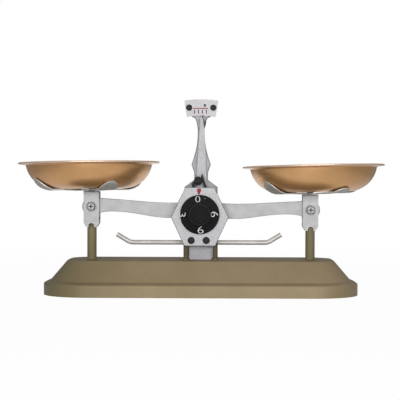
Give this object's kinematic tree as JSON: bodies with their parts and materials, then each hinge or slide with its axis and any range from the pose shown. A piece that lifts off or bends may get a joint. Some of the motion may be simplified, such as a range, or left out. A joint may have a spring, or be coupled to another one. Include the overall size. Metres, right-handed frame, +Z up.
{
  "type": "table balance weighing scale",
  "caption": "Mechanical table balance: a beam in a parallelogram linkage carries round pans over a hollow base, with a pointer reading on an arc scale and a turning tare dial.",
  "frame": {"origin": "on the table, under the centre pivot, at the middle of the footprint", "axes": "+X along the beam to the user's right, -Y towards the user, who reads dial and scale from there, +Z up"},
  "size_m": [0.3883, 0.15, 0.2069],
  "materials": {
    "olive_enamel": "satin enamel, olive gold",
    "silver_paint": "satin silver paint",
    "face_paint": "sandy silver hammer paint",
    "scale_enamel": "light satin silver",
    "bronze_paint": "satin bronze-gold lacquer",
    "bright_steel": "bright nickel plating",
    "plated_steel": "dull zinc plating",
    "hardened_steel": "ground steel",
    "black_steel": "blackened steel",
    "black_plastic": "satin black moulding",
    "brass": "turned brass",
    "rubber": "matt black rubber"
  },
  "bodies": {
    "base": {"base_casting": "olive_enamel", "bottom_plate": "plated_steel", "bottom_screws": "plated_steel", "rubber_feet": "rubber", "handle_bar": "bright_steel", "bracket_block": "silver_paint", "front_bracket": "silver_paint", "pillar": "silver_paint", "bracket_spacers": "plated_steel", "bracket_bolts": "plated_steel", "bracket_nuts": "plated_steel", "bearing_front": "hardened_steel", "bearing_rear": "hardened_steel", "bearing_screw_front": "plated_steel", "bearing_screw_rear": "plated_steel", "scale_plate": "scale_enamel", "scale_screws": "black_steel", "face_plate": "face_paint", "face_spacers": "plated_steel", "face_screws": "black_steel", "face_nuts": "plated_steel", "dial_bush": "brass", "stay_bracket": "plated_steel", "stay_pin": "hardened_steel", "block_screws": "plated_steel", "guide_tube_left": "olive_enamel", "guide_tube_right": "olive_enamel", "tare_spring": "hardened_steel"},
    "dial": {"dial": "black_plastic", "dial_shaft": "hardened_steel"},
    "beam": {"beam": "silver_paint", "knife_edge": "hardened_steel", "tare_pin": "hardened_steel", "pointer": "scale_enamel", "pointer_needle": "black_steel", "pointer_foot": "black_steel", "pointer_rivets": "black_steel", "pivot_pin_left": "hardened_steel", "pivot_pin_right": "hardened_steel", "pivot_washers_left": "plated_steel", "pivot_washers_right": "plated_steel", "pivot_screws_left": "plated_steel", "pivot_screws_right": "plated_steel"},
    "zero_screw": {"zero_screw": "black_plastic"},
    "stay": {"stay": "plated_steel", "stay_end_pins": "hardened_steel"},
    "stirrup_left": {"stirrup_left": "silver_paint", "stem_left": "plated_steel", "pan_carrier_left": "plated_steel", "carrier_rivet_left": "plated_steel"},
    "stirrup_right": {"stirrup_right": "silver_paint", "stem_right": "plated_steel", "pan_carrier_right": "plated_steel", "carrier_rivet_right": "plated_steel"},
    "pan_left": {"pan_left": "bronze_paint"},
    "pan_right": {"pan_right": "bronze_paint"}
  },
  "joints": [
    {"name": "beam_tilt", "type": "hinge", "parent": "base", "child": "beam", "pos_m": [0, 0, 0.09065], "axis": [0, 1, 0], "range_deg": [-3.6, 2], "deforming": ["tare_spring"]},
    {"name": "stay_tilt", "type": "hinge", "parent": "base", "child": "stay", "pos_m": [0, 0, 0.018], "axis": [0, 1, 0], "range_deg": [-3.6, 2]},
    {"name": "stirrup_left_hang", "type": "hinge", "parent": "beam", "child": "stirrup_left", "pos_m": [-0.11599, 0, 0.09227], "axis": [0, 1, 0], "range_deg": [-2, 3.6]},
    {"name": "stirrup_right_hang", "type": "hinge", "parent": "beam", "child": "stirrup_right", "pos_m": [0.11599, 0, 0.08903], "axis": [0, 1, 0], "range_deg": [-2, 3.6]},
    {"name": "dial_turn", "type": "hinge", "parent": "base", "child": "dial", "pos_m": [-0.0008, -0.023, 0.0844], "axis": [0, 1, 0], "range_deg": [0, 330], "deforming": ["tare_spring"]},
    {"name": "zero_screw_turn", "type": "hinge", "parent": "beam", "child": "zero_screw", "pos_m": [-0.00319, -0.005, 0.1203], "axis": [0, 1, 0], "range_deg": [-180, 180]},
    {"name": "pan_left_lift", "type": "slide", "parent": "stirrup_left", "child": "pan_left", "axis": [0, 0, 1], "range_m": [0, 0.06]},
    {"name": "pan_right_lift", "type": "slide", "parent": "stirrup_right", "child": "pan_right", "axis": [0, 0, 1], "range_m": [0, 0.06]}
  ],
  "couplings": [
    {"joint": "stay_tilt", "follows": "beam_tilt", "ratio": 1},
    {"joint": "stirrup_left_hang", "follows": "beam_tilt", "ratio": -1},
    {"joint": "stirrup_right_hang", "follows": "beam_tilt", "ratio": -1}
  ]
}
